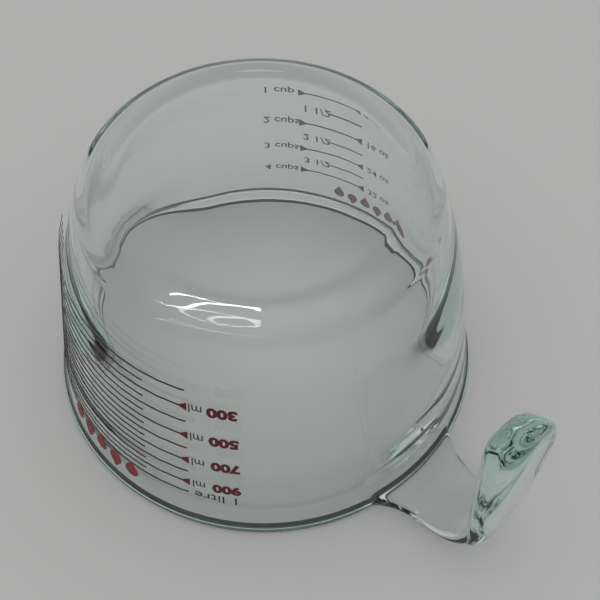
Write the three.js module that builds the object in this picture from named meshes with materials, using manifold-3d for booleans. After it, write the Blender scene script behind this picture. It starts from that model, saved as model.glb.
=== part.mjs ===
import * as THREE from 'three'
import Module from 'manifold-3d'
import { mergeVertices } from 'three/addons/utils/BufferGeometryUtils.js'

// One litre glass measuring jug with an open strap handle, standing on its rim.
// Millimetres, +Z up, +X toward the handle. The jug's own axis is x = 0 while it is built.

// ---- glass ----
const rimRadius = 82.1          // outside of the wall at the table
const taper = 0.168             // radius lost for each millimetre of height
const height = 103.7            // rim to underside of the base
const rimThick = 6.3            // wall near the rim
const heelThick = 7.3           // and near the base
const baseThick = 8.8
const mouthRadius = 74          // inside edge of the rim
const mouthDepth = 30           // height over which the inside opens to that edge
const beadProud = 0.8           // rim bead beyond the wall
const beadHeight = 4
// Heel section: the flat base ends at `flat`, a knuckle leads into a straight bevel (degrees),
// the bevel ends at radius `turnAt`, a second knuckle brings it to `steep` degrees, then a long
// arc meets the wall.
const outerHeel = { flat: 46.3, knuckle: 12.3, bevel: 28.2, turnAt: 56.8, turn: 9.0, steep: 68.9 }
const innerHeel = { flat: 45.8, knuckle: 8.8, bevel: 27.7, turnAt: 53.8, turn: 8.6, steep: 66.9 }
const seatRadius = 44.8          // where the base disc sits inside the heel ring
const segments = 60             // facets round the jug
const gap = 0.3                 // clearance where two pieces meet

// ---- pouring spout ----
const spoutReach = 8.7
const spoutHalfAngle = 24       // degrees to where it blends back into the rim
const spoutDepth = 45

// ---- handle ----
const handleWide = 26.5
const endWide = 23
const bendWide = 29
const rootWide = 38.8
const strapThick = 6.7
const gripThick = 10.4
const endThick = 16.3
const strapBottom = 1.3
const bendRadius = 20
const gripRadius = 117.6        // jug axis to middle of the grip above the bend
const gripLean = 1.7            // the thicker free end stands this much nearer the jug
const gripTop = 84.7
const endRound = 12.8           // height over which the free end rounds off
const endSlope = 0.86           // the free end is cut back toward the jug

// ---- printed scales ----
const printThick = 0.15
const printGap = 0.12
const lineWide = 0.62
const arrowWide = 3.9
const arrowLong = 2.2           // degrees round the wall
const cup = 236.6               // millilitres

const rad = THREE.MathUtils.degToRad
const wallRadius = z => rimRadius - taper * z
const innerTop = height - baseThick
const innerRadius = z => wallRadius(z) - rimThick - (heelThick - rimThick) * z / innerTop

// Heel section from the edge of the flat to the wall line r = foot - slope * z.
function heel({ flat, knuckle, bevel, turnAt, turn, steep }, top, foot, slope, fine) {
  const points = []
  const arc = (r, z, radius, from, to, steps) => {
    for (let i = 0; i <= steps; i++) {
      const a = rad(from + (to - from) * i / steps)
      points.push([
        r + radius * (Math.sin(a) - Math.sin(rad(from))),
        z - radius * (Math.cos(rad(from)) - Math.cos(a)),
      ])
    }
  }
  arc(flat, top, knuckle, 0, bevel, fine)
  const [r1, z1] = points.at(-1)
  arc(turnAt, z1 - (turnAt - r1) * Math.tan(rad(bevel)), turn, bevel, steep, fine)
  const [r2, z2] = points.pop()
  const wallAngle = 90 - THREE.MathUtils.radToDeg(Math.atan(slope))
  const reach = (foot - slope * z2 - r2) / (Math.cos(rad(steep)) - slope * Math.sin(rad(steep)))
  arc(r2, z2, reach / Math.tan(rad(wallAngle - steep) / 2), steep, wallAngle, 3)
  return points
}
const innerSlope = taper + (heelThick - rimThick) / innerTop
const insideHeel = fine => heel(innerHeel, innerTop, rimRadius - rimThick, innerSlope, fine)
const corner = insideHeel(12)

// Inside radius at any height, with the heel and the opening toward the rim.
function hollowRadius(z) {
  if (z < mouthDepth) return mouthRadius + (innerRadius(mouthDepth) - mouthRadius) * z / mouthDepth
  if (z <= corner.at(-1)[1]) return innerRadius(z)
  const i = corner.findIndex(([, height]) => height < z)
  const [r0, z0] = corner[Math.max(i - 1, 0)]
  const [r1, z1] = corner[i]
  return r0 + (r1 - r0) * (z0 - z) / Math.max(z0 - z1, 1e-9)
}

// Height of the level for a volume poured in with the jug the right way up.
function levelFor(millilitres) {
  let z = innerTop - 0.01
  let filled = 0
  while (filled < millilitres) {
    filled += Math.PI * hollowRadius(z) ** 2 * 0.02 / 1000
    z -= 0.02
  }
  return z
}

function tidy(geometry) {
  geometry.deleteAttribute('normal')
  geometry.deleteAttribute('uv')
  return mergeVertices(geometry, 1e-4)
}

// Closed profile turned about the jug axis.
function turn(profile) {
  const points = profile.map(([r, z]) => new THREE.Vector2(r, z))
  if (profile[0][0] > 0) points.push(points[0].clone())
  const geometry = new THREE.LatheGeometry(points, segments)
  geometry.rotateX(Math.PI / 2)
  return tidy(geometry)
}

function spoutPush(angle, z) {
  const off = Math.abs(Math.atan2(Math.sin(angle - Math.PI), Math.cos(angle - Math.PI)))
  const t = Math.min(off / rad(spoutHalfAngle), 1)
  const h = Math.min(Math.max(z / spoutDepth, 0), 1)
  return spoutReach * (1 - t * t) ** 2 * (1 - h) ** 2
}

function shapeSpout(geometry) {
  const p = geometry.attributes.position
  for (let i = 0; i < p.count; i++) {
    const x = p.getX(i)
    const y = p.getY(i)
    const r = Math.hypot(x, y)
    if (r < 1) continue
    const push = spoutPush(Math.atan2(y, x), p.getZ(i)) / r
    p.setXY(i, x * (1 + push), y * (1 + push))
  }
  return geometry
}

// Wall: rim bead, tapered wall and the heel that turns in to the base.
const outside = [
  [wallRadius(0) - 1.8, 0],
  [wallRadius(0) + 0.2, 0.5],
  [wallRadius(1.4) + beadProud, 1.4],
  [wallRadius(2.6) + beadProud, 2.6],
  [wallRadius(beadHeight), beadHeight],
  [wallRadius(30), 30],
  ...heel(outerHeel, height, rimRadius, taper, 4).reverse(),
  [seatRadius, height],
]
const inside = [
  [seatRadius, innerTop],
  ...insideHeel(4),
  [innerRadius(mouthDepth), mouthDepth],
  [hollowRadius(2), 2],
  [mouthRadius + 0.6, 0.4],
  [mouthRadius + 1.6, 0],
]
const wall = shapeSpout(turn([...outside, ...inside]))

// Base: the thick round floor of the jug, seated inside the heel ring.
const baseEdge = seatRadius - gap
const base = turn([[0, innerTop], [baseEdge, innerTop], [baseEdge, height], [0, height]])

// Closed skin over a row of rings that all have the same number of points.
function skin(rings) {
  const n = rings[0].length
  const middle = ring => ring.reduce((s, p) => s.map((v, k) => v + p[k] / n), [0, 0, 0])
  const points = [...rings.flat(), middle(rings[0]), middle(rings.at(-1))]
  const last = (rings.length - 1) * n
  const faces = []
  for (let j = 0; j < n; j++) {
    const k = (j + 1) % n
    for (let i = 0; i + 1 < rings.length; i++) {
      const a = i * n + j
      const b = i * n + k
      faces.push(a, b + n, b, a, a + n, b + n)
    }
    faces.push(last + n, j, k, last + n + 1, last + k, last + j)
  }
  const geometry = new THREE.BufferGeometry()
  geometry.setAttribute('position', new THREE.Float32BufferAttribute(points.flat(), 3))
  geometry.setIndex(faces)
  return geometry
}

// Rounded-rectangle ring across the strap at a station along its path.
function ring({ r, z, lean, wide, thick, slope = 0 }, count = 24) {
  return Array.from({ length: count }, (_, i) => {
    const a = 2 * Math.PI * (i + 0.5) / count
    const side = Math.sign(Math.cos(a)) * Math.abs(Math.cos(a)) ** 0.5 * wide / 2
    const up = Math.sign(Math.sin(a)) * Math.abs(Math.sin(a)) ** 0.6 * thick / 2
    return [r - Math.sin(lean) * up, -side, z + Math.cos(lean) * up - slope * up]
  })
}

function handleShape() {
  const middle = strapBottom + strapThick / 2
  const bendStart = gripRadius - bendRadius
  const stations = []
  for (const [r, wide] of [[75.5, rootWide + 2], [81.6, rootWide], [84.2, 35.2], [87.2, 32.1], [91.8, 30.2]]) {
    stations.push({ r, z: middle, lean: 0, wide, thick: strapThick })
  }
  for (let i = 0; i <= 8; i++) {
    const a = Math.PI / 2 * i / 8
    const grow = i / 8
    stations.push({
      r: bendStart + bendRadius * Math.sin(a),
      z: middle + bendRadius * (1 - Math.cos(a)),
      lean: a,
      wide: bendWide + (handleWide - bendWide) * grow,
      thick: strapThick + (gripThick - strapThick) * grow,
    })
  }
  const gripStart = middle + bendRadius
  const shoulder = gripTop - endRound
  for (const t of [0.3, 0.65, 1]) {
    stations.push({
      r: gripRadius - gripLean * t,
      z: gripStart + (shoulder - gripStart) * t,
      lean: Math.PI / 2,
      wide: handleWide + (endWide - handleWide) * t,
      thick: gripThick + (endThick - gripThick) * t,
    })
  }
  for (const deg of [18, 36, 54, 71, 86]) {
    const s = Math.sin(rad(deg))
    const c = Math.cos(rad(deg))
    stations.push({
      r: gripRadius - gripLean,
      z: shoulder + endRound * s,
      lean: Math.PI / 2,
      wide: endWide * (1 - 0.88 * (1 - c)),
      thick: endThick - 3 * (1 - c),
      slope: endSlope * s,
    })
  }
  return skin(stations.map(s => ring(s)))
}

// The handle is trimmed to the outside of the jug, leaving a hair's clearance.
const wasm = await Module()
wasm.setup()
const solid = g => new wasm.Manifold(new wasm.Mesh({
  numProp: 3,
  vertProperties: new Float32Array(g.attributes.position.array),
  triVerts: new Uint32Array(g.index.array),
}))
function fromSolid(body) {
  const mesh = body.getMesh()
  const geometry = new THREE.BufferGeometry()
  geometry.setAttribute('position', new THREE.Float32BufferAttribute(mesh.vertProperties, 3))
  geometry.setIndex(Array.from(mesh.triVerts))
  return geometry
}
const grown = outside.map(([r, z]) => [r + gap, z])
const cutter = turn([[0, -5], [grown[1][0], -5], ...grown.slice(1, 8), [0, grown[7][1]]])
const handle = fromSolid(solid(handleShape()).subtract(solid(cutter)))

// ---- printed scales ----
// Distance from the axis to a facet of the turned wall, so prints lie flat on it.
function facet(angle, r) {
  const step = 2 * Math.PI / segments
  const within = ((angle % step) + step) % step
  return r * Math.cos(step / 2) / Math.cos(within - step / 2)
}

// A strip round the wall; halfWidth(angle) lets it widen into an arrowhead.
function strip(z, angles, halfWidth) {
  const rings = angles.map(deg => {
    const a = rad(deg)
    const h = halfWidth(deg)
    return [[-h, 0], [-h, printThick], [h, printThick], [h, 0]].map(([dz, out]) => {
      const r = facet(a, wallRadius(z + dz) + printGap + out)
      return [r * Math.cos(a), r * Math.sin(a), z + dz]
    })
  })
  return skin(rings)
}

function printedLine(z, from, to, arrows) {
  const step = 360 / segments
  const corners = arrows.flatMap(([tip, back]) => [tip, back, back + Math.sign(back - tip) * 0.02])
  const marks = new Set([from, to, ...corners])
  for (let a = Math.ceil(from / step) * step; a < to; a += step) marks.add(a)
  const angles = [...marks].filter(a => a >= from && a <= to).sort((a, b) => a - b)
  return strip(z, angles, deg => {
    const head = arrows.find(([tip, back]) => (deg - tip) * (deg - back) <= 0)
    if (!head) return lineWide / 2
    const along = (deg - head[0]) / (head[1] - head[0])
    return Math.max(lineWide / 2, arrowWide / 2 * along)
  })
}

const group = new THREE.Group()
function add(name, geometry, colour) {
  const mesh = new THREE.Mesh(geometry, new THREE.MeshStandardMaterial({ color: colour }))
  mesh.name = name
  group.add(mesh)
}
add('wall', wall, 0xdfe9e5)
add('base', base, 0xdfe9e5)
add('handle', handle, 0xcfe0da)

const farEnd = -138
for (let ml = 200; ml <= 1000; ml += 50) {
  const minor = ml % 100 === 50
  const arrowed = ml % 200 === 100
  const end = minor ? -76.6 : arrowed ? -63.5 : -63.9
  const arrows = arrowed ? [[end - arrowLong, end]] : []
  add(`line_ml_${ml}`, printedLine(levelFor(ml), farEnd, end, arrows), 0x3a1820)
}
for (let halves = 2; halves <= 8; halves++) {
  const whole = halves % 2 === 0
  const from = 103.4
  const to = whole ? 125.6 : 115.5
  const arrows = whole ? [[from + 1.9, from], [to - 2.4, to]] : []
  add(`line_cup_${halves * 5}`, printedLine(levelFor(halves * cup / 2), from, to, arrows), 0x7a1c26)
}

// Stand the whole jug so that x = 0 is the middle of its length.
const box = new THREE.Box3().setFromObject(group)
const shift = -(box.min.x + box.max.x) / 2
group.children.forEach(mesh => mesh.geometry.translate(shift, 0, 0))

export default group
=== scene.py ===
import math

import bmesh
import bpy
from mathutils import Matrix, Vector


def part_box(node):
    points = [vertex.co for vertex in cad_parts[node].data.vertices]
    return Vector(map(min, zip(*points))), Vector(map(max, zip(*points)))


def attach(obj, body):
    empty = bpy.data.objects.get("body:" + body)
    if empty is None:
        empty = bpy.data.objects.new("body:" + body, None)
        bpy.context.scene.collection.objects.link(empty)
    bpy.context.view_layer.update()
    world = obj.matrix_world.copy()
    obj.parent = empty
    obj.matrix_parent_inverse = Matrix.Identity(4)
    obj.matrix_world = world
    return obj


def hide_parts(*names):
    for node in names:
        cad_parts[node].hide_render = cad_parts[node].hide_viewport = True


MM = 0.001

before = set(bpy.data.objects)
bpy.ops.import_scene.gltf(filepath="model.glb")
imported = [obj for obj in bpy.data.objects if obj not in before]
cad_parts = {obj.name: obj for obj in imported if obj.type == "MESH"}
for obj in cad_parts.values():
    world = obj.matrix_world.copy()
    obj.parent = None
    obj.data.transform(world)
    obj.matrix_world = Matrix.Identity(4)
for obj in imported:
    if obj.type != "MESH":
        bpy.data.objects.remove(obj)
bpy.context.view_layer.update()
base_lo, base_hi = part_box("base")
AXIS = (base_lo.x + base_hi.x) / 2  # the jug's own axis stands at x = AXIS

# ---------------------------------------------------------------- sizes, mm
RIM_R = 82.1
TAPER = 0.168
HEIGHT = 103.7
RIM_THICK = 6.3
HEEL_THICK = 7.3
FLOOR_THICK = 8.8
MOUTH_R = 74.0  # inside edge of the rim
MOUTH_DEPTH = 30.0  # height over which the inside opens to that edge
# heel section: edge of the flat, first knuckle radius, bevel angle, where the bevel ends,
# second knuckle radius, angle at which the long arc to the wall starts
HEEL = (46.3, 12.3, 28.2, 56.8, 9.0, 68.9)
INNER_HEEL = (45.8, 8.8, 27.7, 53.8, 8.6, 66.9)
COLUMNS = 96
STEP = 2 * math.pi / COLUMNS
# a closed ring of control points is pulled in by the subdivision surface
SWELL = 1 / (1 - (1 - math.cos(STEP)) / 3)
INNER_TOP = HEIGHT - FLOOR_THICK
HEEL_FROM = 46.0  # the heel's own points are used above this height

SPOUT_REACH = 8.7
SPOUT_HALF_ANGLE = math.radians(24)
SPOUT_DEPTH = 45.0

# shallow hollow inside the wall, above the handle's root
DENT_ANGLE = math.radians(-1)
DENT_Z = 27.0
DENT_HALF_ANGLE = math.radians(17)
DENT_HALF_HIGH = 7.5
DENT_DEEP = 1.8
DENT_SLANT = 12.0  # mm of rise for each radian round the wall

STRAP_THICK = 6.7
STRAP_MID = 4.65  # height of the middle of the strap
BEND_R = 20.0
GRIP_R = 117.6  # jug axis to the middle of the grip above the bend
GRIP_LEAN = 1.7  # the free end stands this much nearer the jug
GRIP_THICK = 10.4
SHOULDER = 71.9  # where the free end starts to round off
END_THICK = 16.5
END_WIDE = 23.2
END_ROUND = 13.0
END_SLOPE = 0.86  # the free end is cut back toward the jug
# distance from the axis, width and thickness where the strap leaves the wall
FLARE = ((83.6, 39.5, 7.4), (85.6, 35.6, 7.0), (88.4, 32.8, 6.7), (91.6, 31, 6.7), (95, 30, 6.7))
FOLLOW_R = 86.0  # the first stations are bent round this radius
FOLLOW_FROM, FOLLOW_OVER = 89.0, 5.5
SOFT_FROM, SOFT_OVER = 84.0, 8.0  # where the strap's edges start to round, and over how far
ROOT_HALF = 4  # columns each side of the handle's root
ROOT_ROWS = (2, 6)  # profile rows the handle grows from

PAINTED_RIM_SHADE = (75.2, 81.8)  # painted shade: a dark ring on the table under the rim, standing in for its contact shadow


def wall_r(z):
    return RIM_R - TAPER * z


def inner_r(z):
    return wall_r(z) - RIM_THICK - (HEEL_THICK - RIM_THICK) * z / INNER_TOP


def heel(shape, top, foot, slope, fine):
    """Section from the edge of the flat base to the wall line r = foot - slope * z."""
    flat, knuckle, bevel, turn_at, turn, steep = shape
    pts = []

    def arc(r, z, radius, start, end, steps):
        for i in range(steps + 1):
            a0, a = math.radians(start), math.radians(start + (end - start) * i / steps)
            pts.append((r + radius * (math.sin(a) - math.sin(a0)), z - radius * (math.cos(a0) - math.cos(a))))

    arc(flat, top, knuckle, 0, bevel, fine)
    r, z = pts[-1]
    arc(turn_at, z - (turn_at - r) * math.tan(math.radians(bevel)), turn, bevel, steep, fine)
    r, z = pts.pop()
    wall_angle = 90 - math.degrees(math.atan(slope))
    s = math.radians(steep)
    reach = (foot - slope * z - r) / (math.cos(s) - slope * math.sin(s))
    arc(r, z, reach / math.tan(math.radians(wall_angle - steep) / 2), steep, wall_angle, 4)
    return pts


def outer_heel(fine):
    return heel(HEEL, HEIGHT, RIM_R, TAPER, fine)


def inner_heel(fine):
    slope = TAPER + (HEEL_THICK - RIM_THICK) / INNER_TOP
    return heel(INNER_HEEL, INNER_TOP, RIM_R - RIM_THICK, slope, fine)


def inside_r(z, corner):
    """Inside radius at a height; corner is the inner heel section."""
    if z < MOUTH_DEPTH:
        return MOUTH_R + (inner_r(MOUTH_DEPTH) - MOUTH_R) * z / MOUTH_DEPTH
    if z <= corner[-1][1]:
        return inner_r(z)
    for (r0, z0), (r1, z1) in zip(corner, corner[1:]):
        if z1 <= z <= z0:
            return r0 + (r1 - r0) * (z0 - z) / max(z0 - z1, 1e-9)
    return corner[0][0]


def level_for(ml):
    """Height of the surface for a poured volume, the jug being filled the right way up."""
    corner = inner_heel(12)
    filled, z = 0.0, INNER_TOP - 0.01
    while filled < ml:
        filled += math.pi * inside_r(z, corner) ** 2 * 0.02 / 1000
        z -= 0.02
    return z


# ---------------------------------------------------------------- node helpers
def new_material(name):
    m = bpy.data.materials.new(name)
    m.use_nodes = True
    m.node_tree.nodes.clear()
    return m, m.node_tree.nodes, m.node_tree.links


def glass_material():
    m, n, l = new_material("clear_green_glass")
    out = n.new("ShaderNodeOutputMaterial")
    p = n.new("ShaderNodeBsdfPrincipled")
    p.inputs["Base Color"].default_value = (1, 1, 1, 1)
    p.inputs["Roughness"].default_value = 0.0
    p.inputs["IOR"].default_value = 1.49
    p.inputs["Transmission Weight"].default_value = 1.0
    coord = n.new("ShaderNodeTexCoord")
    waves = n.new("ShaderNodeTexNoise")
    waves.inputs["Scale"].default_value = 38.0
    waves.inputs["Detail"].default_value = 2.0
    waves.inputs["Roughness"].default_value = 0.4
    bump = n.new("ShaderNodeBump")
    bump.inputs["Strength"].default_value = 0.04
    bump.inputs["Distance"].default_value = 0.0012
    l.new(coord.outputs["Object"], waves.inputs["Vector"])
    l.new(waves.outputs["Fac"], bump.inputs["Height"])
    l.new(bump.outputs["Normal"], p.inputs["Normal"])
    v = n.new("ShaderNodeVolumeAbsorption")
    v.inputs["Color"].default_value = (0.286, 0.729, 0.614, 1)
    v.inputs["Density"].default_value = 7.0
    l.new(p.outputs["BSDF"], out.inputs["Surface"])
    l.new(v.outputs["Volume"], out.inputs["Volume"])
    return m


def enamel_material(name, colour, worn, tip=None):
    """Fired print; with a tip colour the arrow heads past ARROW_START take that colour instead."""
    m, n, l = new_material(name)
    out = n.new("ShaderNodeOutputMaterial")
    p = n.new("ShaderNodeBsdfPrincipled")
    coord = n.new("ShaderNodeTexCoord")
    grain = n.new("ShaderNodeTexNoise")
    grain.inputs["Scale"].default_value = 900.0
    grain.inputs["Detail"].default_value = 3.0
    ramp = n.new("ShaderNodeMapRange")
    ramp.inputs["From Min"].default_value = 0.35
    ramp.inputs["From Max"].default_value = 0.7
    mix = n.new("ShaderNodeMix")
    mix.data_type = "RGBA"
    mix.inputs["A"].default_value = (*colour, 1)
    mix.inputs["B"].default_value = (*worn, 1)
    bump = n.new("ShaderNodeBump")
    bump.inputs["Strength"].default_value = 0.2
    bump.inputs["Distance"].default_value = 0.0001
    p.inputs["Roughness"].default_value = 0.45
    p.inputs["Specular IOR Level"].default_value = 0.3
    l.new(coord.outputs["Object"], grain.inputs["Vector"])
    l.new(grain.outputs["Fac"], ramp.inputs["Value"])
    l.new(ramp.outputs["Result"], mix.inputs["Factor"])
    paint = mix
    if tip:
        place = n.new("ShaderNodeNewGeometry")
        split = n.new("ShaderNodeSeparateXYZ")
        along = n.new("ShaderNodeMath")
        along.operation = "SUBTRACT"
        along.inputs[1].default_value = AXIS
        turn = n.new("ShaderNodeMath")
        turn.operation = "ARCTAN2"
        past = n.new("ShaderNodeMath")
        past.operation = "GREATER_THAN"
        past.inputs[1].default_value = ARROW_START
        paint = n.new("ShaderNodeMix")
        paint.data_type = "RGBA"
        paint.inputs["B"].default_value = (*tip, 1)
        l.new(place.outputs["Position"], split.inputs[0])
        l.new(split.outputs["X"], along.inputs[0])
        l.new(split.outputs["Y"], turn.inputs[0])
        l.new(along.outputs["Value"], turn.inputs[1])
        l.new(turn.outputs["Value"], past.inputs[0])
        l.new(past.outputs["Value"], paint.inputs["Factor"])
        l.new(mix.outputs["Result"], paint.inputs["A"])
    l.new(paint.outputs["Result"], p.inputs["Base Color"])
    l.new(grain.outputs["Fac"], bump.inputs["Height"])
    l.new(bump.outputs["Normal"], p.inputs["Normal"])
    l.new(p.outputs["BSDF"], out.inputs["Surface"])
    return m


ARROW_START = math.radians(-65.8)  # where the arrow heads of the millilitre lines begin
GLASS = glass_material()
DARK_INK = ((0.020, 0.006, 0.009), (0.045, 0.016, 0.019))  # fresh and worn
DARK = enamel_material("dark_enamel", *DARK_INK)
TIPPED = enamel_material("dark_enamel_red_tip", *DARK_INK, tip=(0.14, 0.005, 0.016))
WINE = enamel_material("wine_enamel", (0.115, 0.003, 0.013), (0.16, 0.010, 0.022))
RED = enamel_material("red_enamel", (0.26, 0.008, 0.018), (0.33, 0.03, 0.04))


# ---------------------------------------------------------------- glass body
def turn_from(angle, middle):
    """Angle measured from `middle`, between minus and plus half a turn."""
    return math.atan2(math.sin(angle - middle), math.cos(angle - middle))


def spout_push(angle, z):
    """How far the spout moves the glass outward; it stands opposite the handle."""
    t = min(abs(turn_from(angle, math.pi)) / SPOUT_HALF_ANGLE, 1)
    h = min(max(z / SPOUT_DEPTH, 0), 1)
    return SPOUT_REACH * (1 - t * t) ** 2 * (1 - h) ** 2


def dent(angle, z):
    """Depth of the hollow inside the wall."""
    off = turn_from(angle, DENT_ANGLE)
    a = off / DENT_HALF_ANGLE
    h = (z - DENT_Z - DENT_SLANT * off) / DENT_HALF_HIGH
    return DENT_DEEP * max(0.0, 1 - a * a - h * h) ** 2


def jug_profile():
    """Control points of the section: from the foot of the rim up the outside, then down the inside."""
    out, inn = outer_heel(7), inner_heel(6)
    outside = [(78.6, -0.3), (80.9, 0.3), (82.4, 1.4), (82.85, 3.0), (82.35, 4.6)]
    outside += [(wall_r(z), z) for z in (6.2, 8.3, 14, 22, 32, 44)]
    outside += [p for p in reversed(out) if p[1] > HEEL_FROM]
    outside += [(r, HEIGHT) for r in (40, 32, 20, 8)]
    inside = [(r, INNER_TOP) for r in (8, 20, 32, 40)]
    inside += [p for p in inn if p[1] > HEEL_FROM]
    inside += [(inside_r(z, inn), z) for z in (44, 36, 29, 20, 12, 7)]
    inside += [(74.2, 4.2), (74.6, 2.2), (75.5, 0.8), (76.9, -0.1)]
    return outside, inside


def handle_stations():
    """Stations along the handle: distance from the axis, height, lean, width, thickness, cut back."""
    rows = [(r, STRAP_MID, 0, wide, thick, 0) for r, wide, thick in FLARE]
    start = GRIP_R - BEND_R
    for i in range(8):
        t = i / 7
        a = math.pi / 2 * t
        thick = STRAP_THICK + (GRIP_THICK - STRAP_THICK) * t
        z = STRAP_MID + BEND_R * (1 - math.cos(a))
        rows.append((start + BEND_R * math.sin(a), z, a, 29.2 - 2.5 * t, thick, 0))
    low = STRAP_MID + BEND_R
    for t in (0.25, 0.5, 0.75, 1):
        z = low + (SHOULDER - low) * t
        thick = GRIP_THICK + (END_THICK - GRIP_THICK) * t
        rows.append((GRIP_R - GRIP_LEAN * t, z, math.pi / 2, 26.7 - 3.5 * t, thick, 0))
    for deg in (20, 40, 58, 74):
        s, c = math.sin(math.radians(deg)), math.cos(math.radians(deg))
        wide = END_WIDE * (1 - 0.88 * (1 - c))
        thick = END_THICK - 6 * (1 - c)
        rows.append((GRIP_R - GRIP_LEAN, SHOULDER + END_ROUND * s, math.pi / 2, wide, thick, END_SLOPE * s))
    return rows


def ring_offsets(n, m):
    """Fractions across the strap in the order of the root's edge: bottom row, end, top row, end."""
    bottom = [(-1 + 2 * i / n, -1) for i in range(n + 1)]
    top = [(1 - 2 * i / n, 1) for i in range(n + 1)]
    rise = [-1 + 2 * j / m for j in range(1, m)]
    return bottom + [(1.0, v) for v in rise] + top + [(-1.0, -v) for v in rise]


def jug_skin(bm):
    """The turned body with its spout, left open where the handle grows; returns the grid of vertices."""
    outside, inside = jug_profile()
    rows = outside + inside
    last_out = len(outside) - 1
    grid = []
    for i, (r, z) in enumerate(rows):
        line = []
        for c in range(COLUMNS):
            a = c * STEP
            rr = r * SWELL + spout_push(a, z)
            if i > last_out:
                rr += dent(a, z)
            line.append(bm.verts.new((rr * math.cos(a), rr * math.sin(a), z)))
        grid.append(line)
    top = bm.verts.new((0, 0, HEIGHT))
    low = bm.verts.new((0, 0, INNER_TOP))

    def is_root(i, c):
        from_handle = c if c < COLUMNS / 2 else c - COLUMNS
        return ROOT_ROWS[0] <= i < ROOT_ROWS[1] and -ROOT_HALF <= from_handle < ROOT_HALF

    for i in range(len(rows)):
        j = (i + 1) % len(rows)
        for c in range(COLUMNS):
            d = (c + 1) % COLUMNS
            if i != last_out and not is_root(i, c):
                bm.faces.new((grid[i][c], grid[i][d], grid[j][d], grid[j][c]))
    for c in range(COLUMNS):
        d = (c + 1) % COLUMNS
        bm.faces.new((grid[last_out][c], grid[last_out][d], top))
        bm.faces.new((grid[last_out + 1][d], grid[last_out + 1][c], low))
    return grid


def grow_handle(bm, grid):
    """Strap, bend, grip and free end, grown from the open patch of the wall."""
    a0, a1 = ROOT_ROWS
    n, m = 2 * ROOT_HALF, a1 - a0
    cols = [c % COLUMNS for c in range(-ROOT_HALF, ROOT_HALF + 1)]
    previous = [grid[a0][c] for c in cols]
    previous += [grid[i][cols[-1]] for i in range(a0 + 1, a1)]
    previous += [grid[a1][c] for c in reversed(cols)]
    previous += [grid[i][cols[0]] for i in range(a1 - 1, a0, -1)]
    for r, z, lean, wide, thick, slope in handle_stations():
        ring = []
        soft = min(max((r - SOFT_FROM) / SOFT_OVER, 0), 1)
        for fy, fz in ring_offsets(n, m):
            up = fz * thick / 2 * (1 - soft * 0.22 * fy**4)
            side = fy * wide / 2 * (1 - soft * 0.14 * fz**4)
            x = r - math.sin(lean) * up
            zz = z + math.cos(lean) * up - slope * up
            if r < FOLLOW_FROM:
                sag = (1 - math.sqrt(max(0, 1 - (side / FOLLOW_R) ** 2))) * FOLLOW_R
                x -= sag * (FOLLOW_FROM - r) / FOLLOW_OVER
            ring.append(bm.verts.new((x, side, zz)))
        for k in range(len(ring)):
            q = (k + 1) % len(ring)
            bm.faces.new((previous[k], previous[q], ring[q], ring[k]))
        previous = ring
    close_end(bm, previous, n, m)


def close_end(bm, ring, n, m):
    """Fill the last ring with m rows of n quads."""
    layers = [ring[: n + 1]]
    top_row = list(reversed(ring[n + m : 2 * n + m + 1]))
    for j in range(1, m):
        line = [ring[2 * n + 2 * m - j]]
        for i in range(1, n):
            p = layers[0][i].co.lerp(top_row[i].co, j / m)
            line.append(bm.verts.new((p.x, p.y, p.z + 0.6)))
        layers.append(line + [ring[n + j]])
    layers.append(top_row)
    for low_row, high_row in zip(layers, layers[1:]):
        for i in range(n):
            bm.faces.new((low_row[i], low_row[i + 1], high_row[i + 1], high_row[i]))


def build_glass():
    bm = bmesh.new()
    grow_handle(bm, jug_skin(bm))
    bmesh.ops.recalc_face_normals(bm, faces=bm.faces)
    for v in bm.verts:
        v.co = Vector((v.co.x * MM + AXIS, v.co.y * MM, v.co.z * MM))
    me = bpy.data.meshes.new("jug_glass")
    bm.to_mesh(me)
    bm.free()
    for poly in me.polygons:
        poly.use_smooth = True
    ob = bpy.data.objects.new("jug_glass", me)
    bpy.context.collection.objects.link(ob)
    sub = ob.modifiers.new("round", "SUBSURF")
    sub.levels = 2
    sub.render_levels = 2
    bpy.context.view_layer.objects.active = ob
    ob.select_set(True)
    bpy.ops.object.modifier_apply(modifier=sub.name)
    me.materials.append(GLASS)
    return ob


glass = build_glass()
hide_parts("wall", "base", "handle")
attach(glass, "root")

# ---------------------------------------------------------------- printed lines keep their CAD shapes
for name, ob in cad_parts.items():
    if name.startswith("line_"):
        mat = WINE
        if name.startswith("line_ml"):
            mat = TIPPED if name.rsplit("_", 1)[-1] in ("300", "500", "700", "900") else DARK
        if ob.material_slots:
            for s in ob.material_slots:
                s.material = mat
        else:
            ob.data.materials.append(mat)


# ---------------------------------------------------------------- printed words, numbers and the plain motif
PRINT_PROUD = 0.13  # mm off the wall
CAPITALS = 0.70  # height of a capital letter over the font's size
CUP_ML = 236.6
OUNCE_ML = 29.57


def wrap(me, angle, z):
    """Lay a flat mesh (mm, reading along +x) on the outside, with its top toward the table."""
    a0 = math.radians(angle)
    for v in me.vertices:
        x, y, h = v.co
        zz = z - y
        r = wall_r(zz) + PRINT_PROUD + h
        a = a0 - x / wall_r(z)
        v.co = (r * math.cos(a) * MM + AXIS, r * math.sin(a) * MM, zz * MM)


def print_mesh(name, me, mat):
    bm = bmesh.new()
    bm.from_mesh(me)
    bmesh.ops.recalc_face_normals(bm, faces=bm.faces)
    bm.to_mesh(me)
    bm.free()
    me.materials.clear()
    me.materials.append(mat)
    ob = bpy.data.objects.new(name, me)
    bpy.context.collection.objects.link(ob)
    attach(ob, "root")
    return ob


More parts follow.
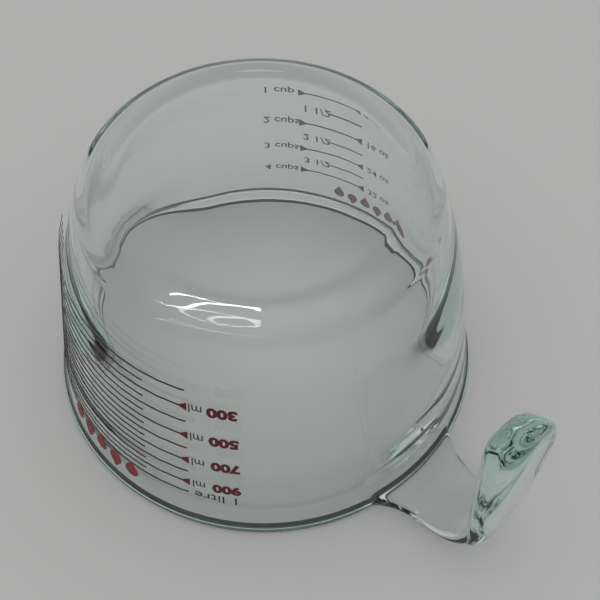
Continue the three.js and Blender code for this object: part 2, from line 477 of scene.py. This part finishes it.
def words(name, text, angle, z, tall, wide=1.0, bold=0.0, mat=None, slot="dark_enamel"):
    """Letters `tall` mm high whose first letter stands at `angle` degrees from the handle."""
    curve = bpy.data.curves.new(name, "FONT")
    curve.body = text
    curve.size = tall / CAPITALS
    curve.offset = bold
    curve.extrude = 0.03
    curve.resolution_u = 4
    flat = bpy.data.objects.new(name + "_flat", curve)
    bpy.context.collection.objects.link(flat)
    bpy.context.view_layer.update()
    me = bpy.data.meshes.new_from_object(flat.evaluated_get(bpy.context.evaluated_depsgraph_get()))
    bpy.data.objects.remove(flat)
    bpy.data.curves.remove(curve)
    for v in me.vertices:
        v.co.x *= wide
    wrap(me, angle, z)
    return print_mesh(name, me, mat or DARK)


def plate(outlines, thick=0.06):
    """Flat closed plates from outlines in mm."""
    bm = bmesh.new()
    for pts in outlines:
        low = [bm.verts.new((x, y, 0)) for x, y in pts]
        high = [bm.verts.new((x, y, thick)) for x, y in pts]
        bm.faces.new(low)
        bm.faces.new(list(reversed(high)))
        for i in range(len(pts)):
            j = (i + 1) % len(pts)
            bm.faces.new((low[i], low[j], high[j], high[i]))
    me = bpy.data.meshes.new("plate")
    bm.to_mesh(me)
    bm.free()
    return me


def droplet(cx, radius, up):
    """Outline of a plain water drop with its point up (1) or down (-1)."""
    pts = []
    for i in range(24):
        a = 2 * math.pi * i / 24 + math.pi / 2
        tip = max(0.0, math.sin(a)) ** 4
        x = cx + radius * math.cos(a) * (1 - 0.55 * tip)
        pts.append((x, up * radius * (math.sin(a) + 0.75 * tip)))
    return pts


IN_RED = {"mat": WINE, "slot": "red_enamel"}

# scale in millilitres, beside the ends of the arrowed lines
for ml in (300, 500, 700, 900):
    z = level_for(ml)
    words(f"print_{ml}", str(ml), -49.9, z + 2.15, 4.3, wide=1.08, bold=0.34, **IN_RED)
    words(f"print_{ml}_ml", "ml", -59.1, z + 2.0, 4.2, wide=0.86)
words("print_1_litre", "1 litre", -50.0, level_for(1000) + 2.0, 4.3, wide=1.14)

# cups and ounces on the other side
CUPS = {2: "1 cup", 3: "1 1/2", 4: "2 cups", 5: "2 1/2", 6: "3 cups", 7: "3 1/2", 8: "4 cups"}
for halves, text in CUPS.items():
    z = level_for(halves * CUP_ML / 2)
    start = 137.5 if halves % 2 == 0 else 124.5
    words(f"print_cups_{halves}", text, start, z + 1.7, 3.7, wide=1.12, bold=0.06, **IN_RED)
for ounces in (8, 16, 24, 32):
    z = level_for(ounces * OUNCE_ML)
    words(f"print_oz_{ounces}", f"{ounces} oz", 102.0, z + 1.6, 3.4, wide=1.1, bold=0.04, **IN_RED)

# plain red drops where a maker would put a name
for k, (angle, z, tall) in enumerate(((-93.5, 14.5, 6.2), (103.0, 12.5, 5.0))):
    me = plate([droplet((i - 2) * tall * 1.33, tall * 0.5, 1 if i % 2 else -1) for i in range(5)])
    wrap(me, angle, z)
    print_mesh(f"print_drops_{k}", me, RED)


# ---------------------------------------------------------------- stage
def stage_piece(name, bm, colour, height):
    me = bpy.data.meshes.new(name)
    bm.to_mesh(me)
    bm.free()
    ob = bpy.data.objects.new(name, me)
    bpy.context.collection.objects.link(ob)
    m, n, l = new_material(name)
    out = n.new("ShaderNodeOutputMaterial")
    p = n.new("ShaderNodeBsdfPrincipled")
    p.inputs["Base Color"].default_value = (*colour, 1)
    p.inputs["Roughness"].default_value = 0.55
    l.new(p.outputs["BSDF"], out.inputs["Surface"])
    me.materials.append(m)
    ob.location.z = height


def make_floor():
    bm = bmesh.new()
    s = 1.2
    bm.faces.new([bm.verts.new((x, y, 0)) for x, y in ((-s, -s), (s, -s), (s, s), (-s, s))])
    stage_piece("pale_floor", bm, (0.79, 0.79, 0.785), -0.0005)


def make_rim_shade():
    """Painted shade: a dark ring on the table right under the rim, in place of its contact shadow; and inside
    it, painted light:
    the table is a little paler to make up for light that is lost on its way through the glass."""
    rings = []
    for r in PAINTED_RIM_SHADE:
        ring = []
        for c in range(COLUMNS):
            a = STEP * c
            rr = (r + spout_push(a, 0)) * MM
            ring.append((rr * math.cos(a) + AXIS, rr * math.sin(a), 0))
        rings.append(ring)
    shade, inside = bmesh.new(), bmesh.new()
    low, high = ([shade.verts.new(p) for p in ring] for ring in rings)
    for c in range(COLUMNS):
        d = (c + 1) % COLUMNS
        shade.faces.new((low[c], high[c], high[d], low[d]))
    inside.faces.new([inside.verts.new(p) for p in rings[0]])
    # painted shade: a near-black ring stands in for the contact shadow under the rim
    stage_piece("painted_rim_shade", shade, (0.10, 0.10, 0.10), -0.0004)
    # painted light: the table inside the rim is paler to make up for light lost on its way through the glass
    stage_piece("floor_inside_painted_light", inside, (0.89, 0.89, 0.88), -0.00045)


make_floor()
make_rim_shade()

def soft_room():
    """Even room light that grows paler toward the ceiling."""
    world = bpy.data.worlds.new("soft_room")
    bpy.context.scene.world = world
    world.use_nodes = True
    n, l = world.node_tree.nodes, world.node_tree.links
    n.clear()
    out = n.new("ShaderNodeOutputWorld")
    background = n.new("ShaderNodeBackground")
    coord = n.new("ShaderNodeTexCoord")
    split = n.new("ShaderNodeSeparateXYZ")
    ramp = n.new("ShaderNodeValToRGB")
    stops = ramp.color_ramp.elements
    stops[0].position = 0.0
    stops[0].color = (0.33, 0.335, 0.335, 1)
    stops[1].position = 0.95
    stops[1].color = (0.72, 0.72, 0.715, 1)
    stops.new(0.25).color = (0.39, 0.395, 0.39, 1)
    stops.new(0.6).color = (0.47, 0.47, 0.467, 1)
    background.inputs["Strength"].default_value = 0.99
    l.new(coord.outputs["Generated"], split.inputs[0])
    l.new(split.outputs["Z"], ramp.inputs["Fac"])
    l.new(ramp.outputs["Color"], background.inputs["Color"])
    l.new(background.outputs["Background"], out.inputs["Surface"])


soft_room()

# ---------------------------------------------------------------- two ceiling tubes
CEILING = 2.0  # metres
TUBE_WIDE = 0.016
TUBE_RADIANCE = 38.0
VIEW_TURN = math.radians(48.81)  # the camera looks from this far round from the handle


def ceiling_tube(x0, y0, x1, y1):
    """A long thin lamp; its ends are in the camera's plan directions, per metre of height."""
    a, b = Vector((x0, y0, 1)) * CEILING, Vector((x1, y1, 1)) * CEILING
    along = b - a
    lamp = bpy.data.lights.new("ceiling_tube", "AREA")
    lamp.shape = "RECTANGLE"
    lamp.size = along.length
    lamp.size_y = TUBE_WIDE
    lamp.energy = TUBE_RADIANCE * math.pi * along.length * TUBE_WIDE
    ob = bpy.data.objects.new("ceiling_tube", lamp)
    bpy.context.collection.objects.link(ob)
    turn = Matrix.Rotation(VIEW_TURN, 4, "Z")
    spin = Matrix.Rotation(math.atan2(along.y, along.x), 4, "Z")
    ob.matrix_world = turn @ Matrix.Translation((a + b) / 2) @ spin
    ob.visible_diffuse = False  # seen in the glass only; the room lights the table


ceiling_tube(-0.667, -0.19, -0.05, -0.384)
ceiling_tube(-0.863, -0.22, -0.051, -0.372)

# ---------------------------------------------------------------- camera
ELEV = math.radians(52.788)
DIST = 365.83 * MM
LENS = 58.824  # mm
YAW = math.radians(-4.224)
PITCH = math.radians(-7.340)
ROLL = math.radians(-1.863)
AIM_Z = 50.0 * MM


def make_camera():
    cam = bpy.data.cameras.new("camera")
    cam.sensor_width = 36
    cam.lens = LENS
    cam.shift_x = -0.0708
    cam.shift_y = 0.1613
    cam.clip_start = 0.01
    ob = bpy.data.objects.new("camera", cam)
    bpy.context.collection.objects.link(ob)
    back = Vector((0, -math.cos(ELEV), math.sin(ELEV)))
    right = Vector((1, 0, 0))
    fwd = -back
    down = -(right.cross(fwd))
    r1 = right * math.cos(YAW) + fwd * math.sin(YAW)
    f1 = -right * math.sin(YAW) + fwd * math.cos(YAW)
    d1 = down * math.cos(PITCH) + f1 * math.sin(PITCH)
    f2 = -down * math.sin(PITCH) + f1 * math.cos(PITCH)
    r2 = r1 * math.cos(ROLL) - d1 * math.sin(ROLL)
    d2 = r1 * math.sin(ROLL) + d1 * math.cos(ROLL)
    place = Vector((0, 0, AIM_Z)) + back * DIST
    turn = Matrix.Rotation(VIEW_TURN, 3, "Z")
    axes = [turn @ r2, turn @ (-d2), turn @ (-f2)]
    m = Matrix.Identity(4)
    for col, axis in enumerate(axes):
        for row in range(3):
            m[row][col] = axis[row]
    p = turn @ place
    m[0][3], m[1][3], m[2][3] = p.x + AXIS, p.y, p.z
    ob.matrix_world = m
    bpy.context.scene.camera = ob


make_camera()
scene = bpy.context.scene
scene.view_settings.view_transform = "Standard"
scene.cycles.max_bounces = 24
scene.cycles.transmission_bounces = 24
scene.cycles.glossy_bounces = 12
scene.cycles.transparent_max_bounces = 24
